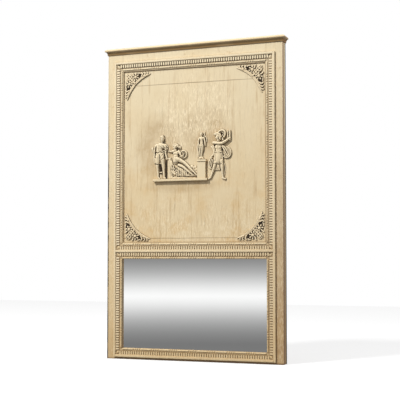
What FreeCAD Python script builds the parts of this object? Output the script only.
"""Trumeau mirror: a painted panelled overmantel with a mirror plate below and a carved panel above.

Units are millimetres.  +X is the viewer's right, +Y runs from the front into the wall, +Z is up.
The origin is the bottom centre of the whole object, half way through its depth.
"""
import FreeCAD, Part
import os
from math import asin, cos, sin, sqrt

Vector = FreeCAD.Vector
X_AXIS = Vector(1, 0, 0)
Y_AXIS = Vector(0, 1, 0)
Z_AXIS = Vector(0, 0, 1)

# ---------------------------------------------------------------- driving dimensions

# carcass
overall_width = 960.0
frame_height = 1634.0
frame_thickness = 32.0
stile_width = 85.0
bottom_rail_height = 57.0
mirror_opening_height = 464.0
middle_rail_height = 81.0
top_rail_height = 118.0

# mortise and tenon joints, each locked by one round peg
tenon_length = 40.0
tenon_thickness = 10.0
tenon_setback = 19.0
tenon_shoulder = 16.0
mortise_end_gap = 1.0
peg_radius = 4.5
peg_inset = 19.0
peg_level = 0.62
peg_clearance = 0.05

# mirror plate and the board behind it
glass_setback = 10.0
glass_thickness = 4.0
rebate_lap = 12.0
rebate_height = 10.0
glass_side_gap = 2.0
glass_top_gap = 1.0

# carved panel, held in a groove round the upper opening
panel_setback = 5.0
panel_thickness = 12.0
groove_depth = 10.0
panel_gap = 1.0
panel_bottom_board_height = 36.0
panel_top_board_height = 93.0

# mouldings round both openings, from the opening outwards
beading_width = 13.0
quirk_width = 4.0
beading_rise = 1.5
bead_radius = 4.2
panel_lip_width = 5.0
lip_rise = 1.0
fluting_width = 22.0
fluting_base_rise = 2.0
fluting_rise = 5.5
fluting_rail = 3.0
fluting_pitch = 12.8
tongue_width = 8.0
tongue_end_gap = 2.2
fillet_width = 11.0
fillet_rise = 10.0
fillet_round = 2.0

# bead-and-reel string: one long reel and three beads in each repeat
bead_repeat = 97.0
reel_length = 58.0
bead_count = 3
string_neck_radius = 1.6
string_gap = 2.4
string_end_gap = 2.0

# cornice: runs along the top of the front and returns down both sides
cornice_overhang = 16.0
cornice_height = 32.0
cornice_cover = 5.0
cornice_rise = 8.0
cornice_nose_drop = 9.0
cornice_nose_radius = 6.0
cornice_base_overhang = 4.0

# battens behind the frame that hold it off the wall
batten_thickness = 28.0
batten_width = 50.0
screw_radius = 2.0
screw_head_radius = 4.0
screw_head_depth = 2.2
batten_screw_length = 44.0
batten_screw_inset = 60.0
side_batten_screw_count = 5
pilot_clearance = 0.05

# turn buttons that hold the back board in
button_thickness = 5.0
button_width = 13.0
button_lap = 19.0
button_tail = 9.0
button_batten_gap = 3.0
button_gap = 0.3
button_spread = 240.0
button_screw_depth = 15.0
button_bore_clearance = 0.08

# hanging hardware: a strap with a rolled eye and a free ring on each stile
strap_width = 17.0
strap_length = 62.0
strap_thickness = 1.5
eye_radius = 3.5
ring_wire_radius = 2.0
ring_bore_clearance = 0.08
ring_side_gap = 1.5
ring_arm = 12.0
ring_corner_radius = 3.0
ring_batten_gap = 2.5
hanger_drop = 234.0
hanger_screw_pitch = 18.0
hanger_screw_end_gap = 8.0
hanger_screw_depth = 18.0
hanger_screw_head = 1.6

# carved ornament on the panel
ornament_edge_gap = 1.5
spandrel_reach = 146.0
spandrel_rise = 6.0
spandrel_bar_width = 12.0
spandrel_leaf_width = 9.0
spandrel_tip_width = 5.2
flower_radius = 11.0
flower_heart_radius = 6.5
palm_stem_radius = 6.5
palm_crown_radius = 9.0
relief_rise = 19.0
plinth_left = -216.0
plinth_right = 82.0
plinth_drop = 320.0
plinth_height = 12.0
plinth_rise = 18.0
plinth_end_round = 2.5
pedestal_left = 28.0
pedestal_right = 72.0
pedestal_height = 86.0
pedestal_rise = 14.0
pedestal_cap_height = 10.0
pedestal_cap_overhang = 4.0
figure_gap = 0.6
standing_overhang = 14.0
standing_limit = -137.0
statue_left = 18.0
relief_right = 216.0
relief_height = 251.0

# how far a cut runs on past the face it opens
overshoot = 1.0

# ---------------------------------------------------------------- derived places

total_depth = cornice_overhang + frame_thickness + batten_thickness
face = cornice_overhang - total_depth / 2            # front of the stiles and rails
frame_back = face + frame_thickness
wall_plane = frame_back + batten_thickness
panel_face = face + panel_setback

half_width = overall_width / 2
inner_x = half_width - stile_width                   # inner edge of each stile
mirror_bottom = bottom_rail_height
mirror_top = mirror_bottom + mirror_opening_height
panel_bottom = mirror_top + middle_rail_height
panel_top = frame_height - top_rail_height

moulding_width = beading_width + fluting_width
mirror_opening = (-inner_x, mirror_bottom, inner_x, mirror_top)
panel_opening = (-inner_x, panel_bottom, inner_x, panel_top)


def grown(opening, margin):
    """The rectangle (left, bottom, right, top) moved outwards by a margin."""
    left, bottom, right, top = opening
    return (left - margin, bottom - margin, right + margin, top + margin)


def box(x_range, y_range, z_range):
    """A box between the two limits on each axis."""
    low = Vector(x_range[0], y_range[0], z_range[0])
    return Part.makeBox(x_range[1] - x_range[0], y_range[1] - y_range[0], z_range[1] - z_range[0], low)


def rod(radius, start, direction, length):
    """A cylinder from a point along a direction."""
    return Part.makeCylinder(radius, length, Vector(*start), direction)


def prism(points, y_front, y_back):
    """A polygon in X and Z, extruded in depth."""
    wire = Part.makePolygon([Vector(x, y_front, z) for x, z in points + points[:1]])
    return Part.Face(wire).extrude(Vector(0, y_back - y_front, 0))


def fused(shapes):
    """All the shapes as one solid."""
    whole = shapes[0] if len(shapes) == 1 else shapes[0].multiFuse(shapes[1:])
    whole = whole.removeSplitter()
    return whole.Solids[0] if len(whole.Solids) == 1 else whole


# ---------------------------------------------------------------- frame members

tenon_front = face + tenon_setback
tenon_back = tenon_front + tenon_thickness
rail_heights = {
    "bottom_rail": (0.0, mirror_bottom),
    "middle_rail": (mirror_top, panel_bottom),
    "top_rail": (panel_top, frame_height),
}


def rebate_and_groove():
    """The space for the glass and its board, and the groove for the panel."""
    left, bottom, right, top = mirror_opening
    rebate = box((left - rebate_lap, right + rebate_lap), (face + glass_setback, frame_back + overshoot),
                 (bottom - rebate_height, top + rebate_height))
    left, bottom, right, top = grown(panel_opening, groove_depth)
    groove = box((left, right), (panel_face, panel_face + panel_thickness), (bottom, top))
    return [rebate, groove]


def tenon_z(rail):
    bottom, top = rail_heights[rail]
    return (bottom + tenon_shoulder, top - tenon_shoulder)


def peg_places():
    """Where a peg crosses each tenon, in X and Z."""
    places = []
    for rail in rail_heights:
        low, high = tenon_z(rail)
        for side in (-1, 1):
            places.append((side * (inner_x + peg_inset), low + peg_level * (high - low)))
    return places


def peg_holes():
    depth = frame_thickness + 2 * overshoot
    return [rod(peg_radius + peg_clearance, (x, face - overshoot, z), Y_AXIS, depth) for x, z in peg_places()]


def tenon_pegs():
    pegs = [rod(peg_radius, (x, face, z), Y_AXIS, frame_thickness) for x, z in peg_places()]
    return Part.makeCompound(pegs)


def rail(name):
    low, high = rail_heights[name]
    body = box((-inner_x, inner_x), (face, frame_back), (low, high))
    tenon = box((-inner_x - tenon_length, inner_x + tenon_length), (tenon_front, tenon_back), tenon_z(name))
    return fused([body, tenon]).cut(rebate_and_groove() + peg_holes() + batten_pilots())


def stile(side):
    edges = sorted((side * inner_x, side * half_width))
    body = box(edges, (face, frame_back), (0, frame_height))
    mortise_edges = sorted((side * (inner_x - overshoot), side * (inner_x + tenon_length + mortise_end_gap)))
    mortises = [box(mortise_edges, (tenon_front, tenon_back), tenon_z(name)) for name in rail_heights]
    pilots = batten_pilots() + button_pilots() + hanger_pilots()
    return body.cut(mortises + rebate_and_groove() + peg_holes() + pilots)


# ---------------------------------------------------------------- mirror and panel

def rebate_fill(y_front, y_back):
    """A sheet that stands on the foot of the rebate, with its gaps at the sides and the top."""
    left, bottom, right, top = mirror_opening
    reach = rebate_lap - glass_side_gap
    return box((left - reach, right + reach), (y_front, y_back),
               (bottom - rebate_height, top + rebate_height - glass_top_gap))


def mirror_glass():
    front = face + glass_setback
    return rebate_fill(front, front + glass_thickness)


def mirror_back_board():
    return rebate_fill(face + glass_setback + glass_thickness, frame_back)


def panel_boards():
    """Three boards, butted edge to edge: a long field between two cross boards."""
    left, bottom, right, top = grown(panel_opening, groove_depth)
    low_joint = panel_bottom - groove_depth + panel_bottom_board_height
    high_joint = top - panel_gap - panel_top_board_height
    levels = [bottom, low_joint, high_joint, top - panel_gap]
    names = ["panel_bottom_board", "panel_field_board", "panel_top_board"]
    edges = (left + panel_gap, right - panel_gap)
    depth = (panel_face, panel_face + panel_thickness)
    return {name: box(edges, depth, levels[i:i + 2]) for i, name in enumerate(names)}


# ---------------------------------------------------------------- mouldings

SIDES = {"bottom": 0.0, "right": -90.0, "top": 180.0, "left": 90.0}


def side_length(rectangle, side):
    left, bottom, right, top = rectangle
    return right - left if side in ("bottom", "top") else top - bottom


def on_side(strip, rectangle, side):
    """A strip drawn along +X from the origin, with +Z inwards, set on one side of a rectangle."""
    left, bottom, right, top = rectangle
    corners = {"bottom": (left, bottom), "right": (right, bottom), "top": (right, top), "left": (left, top)}
    corner = corners[side]
    placed = strip.copy()
    placed.rotate(Vector(0, 0, 0), Y_AXIS, SIDES[side])
    placed.translate(Vector(corner[0], 0, corner[1]))
    return placed


def mitred(length, width, y_front, y_back):
    """A strip whose ends are cut at 45 degrees."""
    return prism([(0, 0), (length, 0), (length - width, width), (width, width)], y_front, y_back)


def comb_outline(length):
    """The raised part of a fluted strip: a rail along its outer edge and round-ended tongues."""
    tongue_tip = fluting_width - tongue_end_gap
    half_tongue = tongue_width / 2
    straight_end = tongue_tip - half_tongue
    run = length - 2 * fluting_width
    count = max(1, int((run - tongue_width) / fluting_pitch) + 1)
    first = (length - (count - 1) * fluting_pitch) / 2
    edges = []
    at = Vector(0, 0, 0)

    def line_to(x, z):
        nonlocal at
        end = Vector(x, 0, z)
        edges.append(Part.makeLine(at, end))
        at = end

    line_to(length, 0)
    line_to(length - fluting_rail, fluting_rail)
    for i in reversed(range(count)):
        middle = first + i * fluting_pitch
        line_to(middle + half_tongue, fluting_rail)
        line_to(middle + half_tongue, straight_end)
        arc_end = Vector(middle - half_tongue, 0, straight_end)
        edges.append(Part.Arc(at, Vector(middle, 0, tongue_tip), arc_end).toShape())
        at = arc_end
        line_to(middle - half_tongue, fluting_rail)
    line_to(fluting_rail, fluting_rail)
    line_to(0, 0)
    return Part.Wire(edges)


def fluted_strip(length):
    ground = mitred(length, fluting_width, face - fluting_base_rise, face)
    comb = Part.Face(comb_outline(length)).extrude(Vector(0, fluting_base_rise - fluting_rise, 0))
    comb.translate(Vector(0, face - fluting_base_rise, 0))
    return fused([ground, comb])


def bead_string(length):
    """The front half of a turned string of beads and long reels, along +X from the origin."""
    bead_length = (bead_repeat - reel_length - (bead_count + 1) * string_gap) / bead_count
    repeats = max(1, int((length - reel_length) / bead_repeat))
    spare = length - reel_length - repeats * bead_repeat
    reel = reel_length + spare / (repeats + 1)
    pieces = ([reel] + [bead_length] * bead_count) * repeats + [reel]
    edges = []
    at = Vector(0, 0, 0)

    def line_to(x, radius):
        nonlocal at
        end = Vector(x, 0, radius)
        edges.append(Part.makeLine(at, end))
        at = end

    x = 0.0
    line_to(0, string_neck_radius)
    for piece in pieces:
        if x > 0:
            line_to(x + string_gap, string_neck_radius)
            x += string_gap
        shoulder = min(piece / 2, bead_length / 2)
        step = bead_radius - string_neck_radius
        bulge = Vector(x + shoulder * 0.3, 0, string_neck_radius + step * 0.72)
        crown = Vector(x + shoulder, 0, bead_radius)
        edges.append(Part.Arc(at, bulge, crown).toShape())
        at = crown
        if piece > 2 * shoulder:
            line_to(x + piece - shoulder, bead_radius)
        tail = Vector(x + piece, 0, string_neck_radius)
        fall = Vector(x + piece - shoulder * 0.3, 0, string_neck_radius + step * 0.72)
        edges.append(Part.Arc(at, fall, tail).toShape())
        at = tail
        x += piece
    line_to(x, 0)
    line_to(0, 0)
    return Part.Face(Part.Wire(edges)).revolve(Vector(0, 0, 0), X_AXIS, 180)


def beading_strip(length, lip):
    """The strip next to an opening: a quirk, a bead-and-reel string and, on the panel, a lip."""
    parts = [mitred(length, beading_width, face - beading_rise, face)]
    if lip > 0:
        corner = beading_width
        lip_piece = prism([(corner, corner), (length - corner, corner),
                           (length - corner - lip, corner + lip), (corner + lip, corner + lip)],
                          face - lip_rise, panel_face)
        parts.append(lip_piece)
    middle = (quirk_width + beading_width) / 2
    start = middle + bead_radius + string_end_gap
    string = bead_string(length - 2 * start)
    string.translate(Vector(start, face - beading_rise, middle))
    return fused(parts + [string])


def mouldings():
    """Eight fluted strips and eight beading strips, one on each side of the two openings."""
    made = {}
    openings = (("mirror", mirror_opening, 0.0), ("panel", panel_opening, panel_lip_width))
    for frame_name, opening, lip in openings:
        fluting_edge = grown(opening, moulding_width)
        beading_edge = grown(opening, beading_width)
        for pair in (("bottom", "top"), ("left", "right")):
            fluting = fluted_strip(side_length(fluting_edge, pair[0]))
            beading = beading_strip(side_length(beading_edge, pair[0]), lip)
            for side in pair:
                made[f"{frame_name}_{side}_fluting"] = on_side(fluting, fluting_edge, side)
                made[f"{frame_name}_{side}_beading"] = on_side(beading, beading_edge, side)
    return made


def fillets():
    """Flat raised strips round the fluting: two long uprights and three cross strips between them."""
    edge = inner_x + moulding_width
    cross_levels = {
        "bottom_fillet": (mirror_bottom - moulding_width - fillet_width, mirror_bottom - moulding_width),
        "middle_fillet": (mirror_top + moulding_width, panel_bottom - moulding_width),
        "top_fillet": (panel_top + moulding_width, panel_top + moulding_width + fillet_width),
    }
    depth = (face - fillet_rise, face)
    made = {name: box((-edge, edge), depth, levels) for name, levels in cross_levels.items()}
    ends = (cross_levels["bottom_fillet"][0], cross_levels["top_fillet"][1])
    made["left_fillet"] = box((-edge - fillet_width, -edge), depth, ends)
    made["right_fillet"] = box((edge, edge + fillet_width), depth, ends)
    for name, strip in made.items():
        across = 1 if name in cross_levels else 0
        arrises = [e for e in strip.Edges if e.BoundBox.YMax < face - fillet_rise / 2
                   and (e.BoundBox.XLength if across else e.BoundBox.ZLength) > 2 * fillet_width]
        made[name] = strip.makeFillet(min(fillet_round, fillet_width / 4), arrises)
    return made


# ---------------------------------------------------------------- cornice

cornice_top = frame_height + cornice_cover
cornice_foot = cornice_top - cornice_height


def cornice_profile():
    """The section as (overhang, height) edges: a cove under a round nose, with a flat top."""
    nose_z = cornice_top - cornice_nose_drop
    nose_back = cornice_overhang - cornice_nose_radius
    cove_top = nose_z - cornice_nose_radius
    foot = Vector(cornice_base_overhang, 0, cornice_foot)
    cove_end = Vector(nose_back, 0, cove_top)
    cove_middle = Vector(cornice_base_overhang + (nose_back - cornice_base_overhang) * 0.25, 0,
                         cornice_foot + (cove_top - cornice_foot) * 0.62)
    nose_tip = Vector(cornice_overhang, 0, nose_z)
    nose_top = Vector(nose_back, 0, nose_z + cornice_nose_radius)
    top_front = Vector(nose_back - 2.0, 0, cornice_top)
    return Part.Wire([
        Part.makeLine(Vector(0, 0, cornice_foot), foot),
        Part.Arc(foot, cove_middle, cove_end).toShape(),
        Part.Arc(cove_end, nose_tip, nose_top).toShape(),
        Part.makeLine(nose_top, top_front),
        Part.makeLine(top_front, Vector(0, 0, cornice_top)),
        Part.makeLine(Vector(0, 0, cornice_top), Vector(0, 0, cornice_foot)),
    ])


def cornice():
    """The front length climbs a little to the right, and each return sits at its own end's level."""
    reach = half_width + cornice_overhang
    slope = cornice_rise / overall_width
    section = cornice_profile()
    front_section = section.copy()
    front_section.rotate(Vector(0, 0, 0), Z_AXIS, -90)
    front_section.translate(Vector(-reach, face, -reach * slope))
    front = Part.Face(front_section).extrude(Vector(2 * reach, 0, 2 * reach * slope))
    low, high = cornice_foot - cornice_rise, cornice_top + cornice_rise
    keep = Part.Face(Part.makePolygon([Vector(-reach, face - cornice_overhang, low),
                                       Vector(reach, face - cornice_overhang, low),
                                       Vector(half_width, face, low), Vector(-half_width, face, low),
                                       Vector(-reach, face - cornice_overhang, low)]))
    made = {"cornice_front": front.common(keep.extrude(Vector(0, 0, high - low)))}
    corner = Part.Face(Part.makePolygon([Vector(half_width, face, low),
                                         Vector(reach, face - cornice_overhang, low),
                                         Vector(reach, wall_plane, low), Vector(half_width, wall_plane, low),
                                         Vector(half_width, face, low)])).extrude(Vector(0, 0, high - low))
    depth = wall_plane - face + cornice_overhang
    right_section = section.copy()
    right_section.translate(Vector(half_width, face - cornice_overhang, 0))
    straight = Part.Face(right_section).extrude(Vector(0, depth, 0)).common(corner)
    for name, side in (("cornice_left_return", -1), ("cornice_right_return", 1)):
        piece = straight.copy() if side > 0 else straight.mirror(Vector(0, 0, 0), X_AXIS)
        piece.translate(Vector(0, 0, side * half_width * slope))
        made[name] = piece
    return made


# ---------------------------------------------------------------- battens and their screws

def batten_screw_places():
    """Where each countersunk screw goes in, in X and Z."""
    column = half_width - batten_width / 2
    span = frame_height - 2 * batten_screw_inset
    pitch = span / (side_batten_screw_count - 1)
    heights = [batten_screw_inset + pitch * i for i in range(side_batten_screw_count)]
    places = [(side * column, z) for side in (-1, 1) for z in heights]
    levels = (batten_width / 2, frame_height - batten_width / 2)
    return places + [(side * inner_x / 2, z) for side in (-1, 1) for z in levels]


def countersunk(place, extra):
    """A countersunk screw, or the hole for it when extra is more than 0."""
    x, z = place
    tip = wall_plane - batten_screw_length - extra
    shank = rod(screw_radius + extra, (x, tip, z), Y_AXIS, wall_plane - tip)
    head = Part.makeCone(screw_radius + extra, screw_head_radius + extra, screw_head_depth,
                         Vector(x, wall_plane - screw_head_depth, z), Y_AXIS)
    return fused([shank, head])


def batten_screws():
    return Part.makeCompound([countersunk(place, 0.0) for place in batten_screw_places()])


def batten_pilots():
    return [countersunk(place, pilot_clearance) for place in batten_screw_places()]


def battens():
    depth = (frame_back, wall_plane)
    step = half_width - batten_width
    made = {
        "left_batten": box((-half_width, -step), depth, (0, frame_height)),
        "right_batten": box((step, half_width), depth, (0, frame_height)),
        "bottom_batten": box((-step, step), depth, (0, batten_width)),
        "top_batten": box((-step, step), depth, (frame_height - batten_width, frame_height)),
    }
    return {name: piece.cut(batten_pilots()) for name, piece in made.items()}


# ---------------------------------------------------------------- turn buttons

button_x = half_width - batten_width - button_batten_gap - button_tail
button_arm = button_x - inner_x - rebate_lap + button_lap
button_middle_z = (mirror_bottom + mirror_top) / 2
button_places = {
    "lower_left_turn_button": (-1, button_middle_z - button_spread / 2),
    "upper_left_turn_button": (-1, button_middle_z + button_spread / 2),
    "lower_right_turn_button": (1, button_middle_z - button_spread / 2),
    "upper_right_turn_button": (1, button_middle_z + button_spread / 2),
}


def turn_button(name):
    """A flat bar with round ends that turns on its screw; its long arm laps over the back board."""
    side, z = button_places[name]
    pivot = side * button_x
    round_end = button_width / 2
    front = frame_back + button_gap
    tail_x = pivot + side * (button_tail - round_end)
    arm_x = pivot - side * (button_arm - round_end)
    ends = [rod(round_end, (x, front, z), Y_AXIS, button_thickness) for x in (tail_x, arm_x)]
    bar = box(sorted((tail_x, arm_x)), (front, front + button_thickness), (z - round_end, z + round_end))
    bore = rod(screw_radius + button_bore_clearance, (pivot, front - overshoot, z), Y_AXIS,
               button_thickness + 2 * overshoot)
    return fused([bar] + ends).cut(bore)


def button_screws():
    screws = []
    head_seat = frame_back + button_thickness + 2 * button_gap
    for side, z in button_places.values():
        start = frame_back - button_screw_depth
        shank = rod(screw_radius, (side * button_x, start, z), Y_AXIS, head_seat - start)
        head = rod(screw_head_radius, (side * button_x, head_seat, z), Y_AXIS, screw_head_depth)
        screws.append(fused([shank, head]))
    return Part.makeCompound(screws)


def button_pilots():
    depth = button_screw_depth + pilot_clearance
    radius = screw_radius + pilot_clearance
    return [rod(radius, (side * button_x, frame_back - depth, z), Y_AXIS, depth + overshoot)
            for side, z in button_places.values()]


# ---------------------------------------------------------------- hanging hardware

ring_half_width = strap_width / 2 + ring_side_gap + ring_corner_radius
hanger_x = half_width - batten_width - ring_batten_gap - ring_wire_radius - ring_half_width
hanger_height = frame_height - hanger_drop
ring_axis_y = frame_back + strap_thickness + eye_radius
hanger_screw_start = hanger_height - strap_length + hanger_screw_end_gap
hanger_screw_levels = [hanger_screw_start, hanger_screw_start + hanger_screw_pitch]


def hanger_strap(side):
    """A plate against the stile with an eye at its top end, in which the ring turns."""
    x = side * hanger_x
    width = (x - strap_width / 2, x + strap_width / 2)
    plate = box(width, (frame_back, frame_back + strap_thickness),
                (hanger_height - strap_length, hanger_height + eye_radius))
    neck = box(width, (frame_back, ring_axis_y), (hanger_height - eye_radius, hanger_height + eye_radius))
    eye = rod(eye_radius, (width[0], ring_axis_y, hanger_height), X_AXIS, strap_width)
    bore_start = (width[0] - overshoot, ring_axis_y, hanger_height)
    bore = rod(ring_wire_radius + ring_bore_clearance, bore_start, X_AXIS, strap_width + 2 * overshoot)
    holes = [rod(screw_radius + pilot_clearance, (x, frame_back - overshoot, z), Y_AXIS,
                 strap_thickness + 2 * overshoot) for z in hanger_screw_levels]
    return fused([plate, neck, eye]).cut([bore] + holes)


def hanging_ring(side):
    """A closed D of round wire, hanging from the eye: a straight bar, two arms and a half round."""
    x, y, z = side * hanger_x, ring_axis_y, hanger_height
    wide, bend, drop = ring_half_width, ring_corner_radius, ring_arm
    diagonal = bend * (1 - sqrt(0.5))

    def at(dx, dz):
        return Vector(x + dx, y, z + dz)

    path = Part.Wire([
        Part.makeLine(at(0, 0), at(wide - bend, 0)),
        Part.Arc(at(wide - bend, 0), at(wide - diagonal, -diagonal), at(wide, -bend)).toShape(),
        Part.makeLine(at(wide, -bend), at(wide, -drop)),
        Part.Arc(at(wide, -drop), at(0, -drop - wide), at(-wide, -drop)).toShape(),
        Part.makeLine(at(-wide, -drop), at(-wide, -bend)),
        Part.Arc(at(-wide, -bend), at(-wide + diagonal, -diagonal), at(-wide + bend, 0)).toShape(),
        Part.makeLine(at(-wide + bend, 0), at(0, 0)),
    ])
    section = Part.Wire([Part.makeCircle(ring_wire_radius, at(0, 0), X_AXIS)])
    return path.makePipeShell([section], True, False)


def hanger_screws():
    screws = []
    for side in (-1, 1):
        for z in hanger_screw_levels:
            start = frame_back - hanger_screw_depth
            seat = frame_back + strap_thickness
            shank = rod(screw_radius, (side * hanger_x, start, z), Y_AXIS, seat - start)
            head = rod(screw_head_radius, (side * hanger_x, seat, z), Y_AXIS, hanger_screw_head)
            screws.append(fused([shank, head]))
    return Part.makeCompound(screws)


def hanger_pilots():
    depth = hanger_screw_depth + pilot_clearance
    radius = screw_radius + pilot_clearance
    return [rod(radius, (side * hanger_x, frame_back - depth, z), Y_AXIS, depth + overshoot)
            for side in (-1, 1) for z in hanger_screw_levels]


# ---------------------------------------------------------------- carved ornament

def limb(start, start_radius, end, end_radius):
    """A round tapered form between two points given as (x, height, lift).

    Height is measured from the figures' ground line, and lift from the panel to the form's axis.
    """
    first = Vector(start[0], panel_face - start[2], figure_foot + start[1])
    last = Vector(end[0], panel_face - end[2], figure_foot + end[1])
    along = last - first
    length = along.Length
    lean = asin(max(-0.95, min(0.95, (start_radius - end_radius) / length)))
    near = Vector(start_radius * sin(lean), 0, start_radius * cos(lean))
    far = Vector(length + end_radius * sin(lean), 0, end_radius * cos(lean))
    tail = Vector(-start_radius, 0, 0)
    tip = Vector(length + end_radius, 0, 0)

    def round_end(middle, radius, arc_start, arc_end):
        circle = Part.Circle(middle, Y_AXIS, radius)
        return Part.ArcOfCircle(circle, circle.parameter(arc_start), circle.parameter(arc_end)).toShape()

    outline = Part.Wire([
        round_end(Vector(0, 0, 0), start_radius, tail, near),
        Part.makeLine(near, far),
        round_end(Vector(length, 0, 0), end_radius, far, tip),
        Part.makeLine(tip, tail),
    ])
    turned = Part.Face(outline).revolve(Vector(0, 0, 0), X_AXIS, 360)
    turned.Placement = FreeCAD.Placement(first, FreeCAD.Rotation(X_AXIS, along))
    return turned


def carved(limbs, x_range, z_range):
    """Round forms joined into one carving, flat on the panel and trimmed to its own space."""
    space = box(x_range, (panel_face - relief_rise, panel_face), z_range)
    return fused([limb(*parts) for parts in limbs]).common(space)


plinth_bottom = panel_bottom + plinth_drop
figure_foot = plinth_bottom + plinth_height
relief_top = figure_foot + relief_height
reclining_limit = pedestal_left - figure_gap
statue_foot = figure_foot + pedestal_height + pedestal_cap_height
statue_right = pedestal_right + 2 * pedestal_cap_overhang


def standing_figure():
    """A draped figure on the left, its head turned to the right and one arm held out."""
    limbs = [
        ((-167, 212, 8), 11, (-166, 218, 8), 11),         # head
        ((-172, 196, 6), 7, (-177, 184, 6), 9),           # neck
        ((-197, 176, 5), 9, (-160, 175, 6), 10),          # shoulders
        ((-180, 170, 5), 15, (-182, 144, 5), 13),         # chest and waist
        ((-182, 138, 4), 15, (-184, 96, 4), 19),         # tunic
        ((-170, 126, 4), 13, (-170, 92, 4), 13),
        ((-203, 174, 5), 6, (-209, 144, 5), 5.5),         # hanging arm
        ((-209, 144, 5), 5.5, (-205, 94, 6), 4.5),
        ((-155, 174, 5), 6.5, (-148, 146, 6), 6),         # reaching arm
        ((-148, 146, 6), 6, (-140, 130, 6), 4.5),
        ((-190, 86, 4), 8, (-191, 52, 4), 6.2),          # legs
        ((-191, 52, 4), 7, (-189, 8, 4), 5),
        ((-163, 86, 4), 8, (-158, 52, 4), 6.2),
        ((-158, 52, 4), 7, (-154, 8, 4), 5),
        ((-190, 5, 4), 6, (-180, 4, 6), 5),             # feet
        ((-155, 5, 4), 6, (-145, 4, 6), 5),
        ((-205, 96, 0), 7, (-204, 11, 0), 6),            # cloak
    ]
    return carved(limbs, (plinth_left - standing_overhang, standing_limit), (figure_foot, relief_top))


def reclining_figure():
    """A draped figure on a couch, facing the standing one, its legs stretched to the right."""
    limbs = [
        ((-98, 164, 8), 13, (-92, 169, 8), 13),           # head
        ((-76, 162, 6), 8, (-70, 162, 6), 7),             # knot of hair
        ((-92, 154, 6), 8, (-94, 140, 6), 10),            # neck
        ((-106, 134, 5), 9, (-82, 132, 6), 10),           # shoulders
        ((-95, 128, 5), 14, (-92, 94, 5), 14),           # body
        ((-108, 136, 6), 6, (-130, 142, 6), 4.5),         # outstretched arm
        ((-80, 128, 6), 6.5, (-58, 112, 7), 6),           # bent arm
        ((-58, 112, 7), 6, (-52, 128, 7), 5),
        ((-47, 131, 0), 19, (-46, 129, 0), 19),           # round scroll
        ((-88, 90, 5), 13, (-38, 82, 6), 11),           # nearer leg
        ((-38, 82, 6), 11, (18, 32, 5), 7),
        ((18, 32, 5), 6, (26, 16, 5), 5),
        ((-84, 76, 3), 12, (-30, 52, 3), 9),             # farther leg
        ((-30, 52, 3), 9, (14, 10, 3), 6),
        ((-110, 76, 2), 14, (-100, 41, 1), 16),          # hanging cloth
        ((-80, 51, 0), 16, (-50, 36, 0), 15),
        ((-127, 96, 0), 9, (-127, 11, 0), 9),            # couch
        ((-116, 10, 0), 11, (10, 10, 0), 11),
        ((-20, 56, -4), 20, (14, 41, -4), 20),            # rocks behind
    ]
    return carved(limbs, (standing_limit + figure_gap, reclining_limit), (figure_foot, relief_top))


def statue():
    """A small standing nude with cloth at its sides."""
    limbs = [
        ((50, 225, 6), 8, (50, 227, 6), 8),               # head
        ((50, 216, 5), 5, (50, 209, 5), 6),               # neck
        ((42, 206, 4), 6.5, (62, 206, 4), 6.5),           # shoulders
        ((51, 202, 4), 11, (50, 178, 4), 9),              # body
        ((49, 176, 4), 9, (51, 164, 4), 10),              # hips
        ((46, 160, 4), 8, (46, 132, 4), 6),               # legs
        ((46, 132, 4), 6, (47, 106, 4), 4.5),
        ((57, 160, 4), 8, (54, 132, 4), 6),
        ((54, 132, 4), 6, (55, 106, 4), 4.5),
        ((40, 206, 4), 5, (30, 186, 4), 4.5),             # bent arm
        ((30, 186, 4), 4.5, (38, 170, 5), 4),
        ((64, 206, 4), 5.5, (71, 188, 4), 5),             # arm at rest
        ((71, 188, 4), 5, (72, 172, 4), 4.5),
        ((28, 166, 0), 6, (31, 110, 0), 6),               # cloth
        ((66, 224, 0), 5, (66, 214, 0), 5),
        ((36, 102, 0), 8, (60, 102, 0), 8),               # base
    ]
    return carved(limbs, (statue_left, statue_right), (statue_foot, relief_top))


def striding_figure():
    """A helmeted figure on the right, striding to the left with a billowing cloak."""
    limbs = [
        ((137, 204, 8), 12, (139, 212, 8), 12),           # head
        ((126, 222, 8), 7, (152, 220, 8), 9),             # helmet brim
        ((152, 226, 6), 7, (166, 233, 6), 7),             # plume
        ((166, 233, 6), 7, (175, 218, 6), 7),
        ((175, 218, 6), 7, (165, 200, 5), 6),
        ((140, 188, 6), 8, (142, 178, 6), 10),            # neck
        ((116, 178, 6), 7.5, (148, 172, 6), 9),           # arms
        ((148, 172, 6), 9, (184, 183, 6), 7),
        ((184, 183, 6), 7, (200, 196, 6), 6),
        ((202, 200, 3), 5, (202, 234, 3), 4),             # upright staff
        ((141, 164, 5), 16, (143, 136, 5), 14),           # body
        ((140, 128, 4), 17, (140, 88, 4), 18),            # skirt
        ((156, 122, 4), 12, (158, 86, 4), 12),
        ((118, 176, 3), 7, (106, 154, 2), 7),             # cloth on the left
        ((106, 154, 2), 7, (113, 134, 2), 7),
        ((113, 134, 2), 7, (104, 112, 2), 6),
        ((156, 158, 2), 10, (184, 138, 0), 14),            # cloak
        ((188, 134, -2), 22, (190, 122, -2), 22),
        ((126, 74, 4), 9, (116, 50, 4), 8),               # leading leg
        ((116, 50, 4), 8, (98, 4, 4), 5.5),
        ((98, 2, 4), 6, (92, -4, 5), 5),
        ((160, 78, 4), 10, (162, 46, 4), 8),             # trailing leg
        ((162, 46, 4), 8, (162, 4, 4), 5.5),
        ((160, -2, 4), 6, (173, -3, 4), 5.5),
        ((140, 66, 0), 14, (138, 48, 0), 12),             # cloth between the legs
        ((92, 96, 0), 9, (95, 56, 0), 10),               # falling cloth
        ((104, 78, 0), 10, (106, 66, 0), 10),
    ]
    space = (statue_right + figure_gap, relief_right)
    return carved(limbs, space, (plinth_bottom, relief_top)).cut(relief_plinth())


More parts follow.
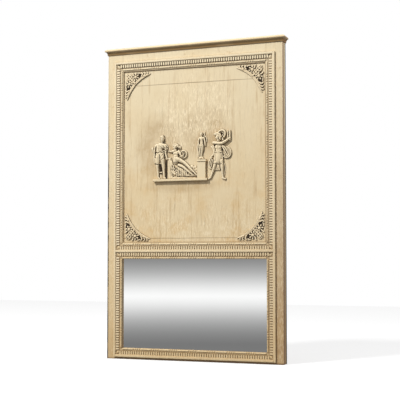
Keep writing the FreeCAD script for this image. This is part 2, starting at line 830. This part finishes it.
def relief_plinth():
    """The ledge under the figures, with its two long front edges rounded off."""
    front = panel_face - plinth_rise
    ledge = box((plinth_left, plinth_right), (front, panel_face), (plinth_bottom, figure_foot))
    level = [e for e in ledge.Edges if e.BoundBox.YMax < front + 1 and e.BoundBox.ZLength < 1]
    return ledge.makeFillet(plinth_end_round, level)


def relief_pedestal():
    """A square pedestal with a projecting cap."""
    top = figure_foot + pedestal_height
    front = panel_face - pedestal_rise
    shaft = box((pedestal_left, pedestal_right), (front, panel_face), (figure_foot, top))
    cap = box((pedestal_left, pedestal_right + pedestal_cap_overhang),
              (front - pedestal_cap_overhang, panel_face), (top, top + pedestal_cap_height))
    return fused([shaft, cap])


def pill(start, end, radius, rise):
    """A flat round-ended bar between two points of a corner's own plan."""
    run = sqrt((end[0] - start[0]) ** 2 + (end[1] - start[1]) ** 2)
    across = ((end[1] - start[1]) / run * radius, -(end[0] - start[0]) / run * radius)
    bar = prism([(start[0] + across[0], start[1] + across[1]), (end[0] + across[0], end[1] + across[1]),
                 (end[0] - across[0], end[1] - across[1]), (start[0] - across[0], start[1] - across[1])],
                panel_face - rise, panel_face)
    ends = [rod(radius, (x, panel_face - rise, z), Y_AXIS, rise) for x, z in (start, end)]
    return fused([bar] + ends)


def corner_spandrel():
    """Openwork for one corner, drawn with the corner at the origin, +X and +Z into the panel.

    A bar crosses the corner, a palm leaf runs back along the diagonal, a flower stands on
    each side of it, and the bar's ends run out along the edges as two pointed leaves.
    """
    reach, tall = spandrel_reach, spandrel_rise
    bar, leaf, tip = spandrel_bar_width / 2, spandrel_leaf_width / 2, spandrel_tip_width / 2
    bar_end = (reach * 0.74, reach * 0.26)
    bar_middle = (reach * 0.42, reach * 0.42)
    leaf_root = (reach * 0.74, reach * 0.25)
    leaf_tip = (reach * 0.90, reach * 0.14)
    stem = (reach * 0.34, reach * 0.08)
    flower = (reach * 0.50, reach * 0.20)
    half = [
        pill(bar_middle, bar_end, bar, tall),
        pill(leaf_root, leaf_tip, leaf * 1.2, tall * 0.8),
        pill(leaf_tip, (reach - tip, reach * 0.12), tip, tall * 0.6),
        pill((reach * 0.10, reach * 0.05), stem, leaf, tall * 0.6),
        pill(stem, flower, leaf, tall * 0.6),
        pill(flower, leaf_root, leaf, tall * 0.6),
        pill(flower, (reach * 0.62, reach * 0.08), leaf, tall * 0.6),
        rod(flower_radius, (flower[0], panel_face - tall, flower[1]), Y_AXIS, tall),
        rod(flower_heart_radius, (flower[0], panel_face - tall * 1.5, flower[1]), Y_AXIS, tall * 1.5),
    ]
    whole = half + [piece.mirror(Vector(0, 0, 0), Vector(1, 0, -1)) for piece in half]
    palm_root = (reach * 0.06, reach * 0.06)
    palm_neck = (reach * 0.22, reach * 0.22)
    palm_crown = (reach * 0.40, reach * 0.40)
    whole.append(pill(palm_root, palm_neck, palm_stem_radius, tall * 0.9))
    whole.append(pill(palm_neck, palm_crown, palm_crown_radius, tall * 1.2))
    return fused(whole).common(box((0, 2 * reach), (panel_face - 2 * tall, panel_face), (0, 2 * reach)))


def spandrels():
    """The same openwork in all four corners of the panel."""
    left, bottom, right, top = grown(panel_opening, -panel_lip_width - ornament_edge_gap)
    one = corner_spandrel()
    made = {}
    for name, x, z, flip_x, flip_z in (("bottom_left_spandrel", left, bottom, False, False),
                                       ("bottom_right_spandrel", right, bottom, True, False),
                                       ("top_left_spandrel", left, top, False, True),
                                       ("top_right_spandrel", right, top, True, True)):
        piece = one.mirror(Vector(0, 0, 0), X_AXIS) if flip_x else one.copy()
        piece = piece.mirror(Vector(0, 0, 0), Z_AXIS) if flip_z else piece
        piece.translate(Vector(x, 0, z))
        made[name] = piece
    return made


# ---------------------------------------------------------------- the whole object

def all_pieces():
    pieces = {
        "left_stile": stile(-1),
        "right_stile": stile(1),
        "tenon_pegs": tenon_pegs(),
        "mirror_glass": mirror_glass(),
        "mirror_back_board": mirror_back_board(),
        "batten_screws": batten_screws(),
        "turn_button_screws": button_screws(),
        "left_hanger_strap": hanger_strap(-1),
        "right_hanger_strap": hanger_strap(1),
        "left_hanging_ring": hanging_ring(-1),
        "right_hanging_ring": hanging_ring(1),
        "hanger_screws": hanger_screws(),
        "relief_plinth": relief_plinth(),
        "relief_pedestal": relief_pedestal(),
        "relief_standing_figure": standing_figure(),
        "relief_reclining_figure": reclining_figure(),
        "relief_statue": statue(),
        "relief_striding_figure": striding_figure(),
    }
    for name in rail_heights:
        pieces[name] = rail(name)
    for name in button_places:
        pieces[name] = turn_button(name)
    for group in (panel_boards(), mouldings(), fillets(), cornice(), battens(), spandrels()):
        pieces.update(group)
    return pieces


os.makedirs("parts", exist_ok=True)
for node, shape in all_pieces().items():
    shape.exportStep(f"parts/{node}.step")
    state = "valid" if shape.isValid() else "NOT VALID"
    print(f"{node}: {len(shape.Solids)} solid, {len(shape.Faces)} faces, {shape.Volume:.0f} mm3, {state}")
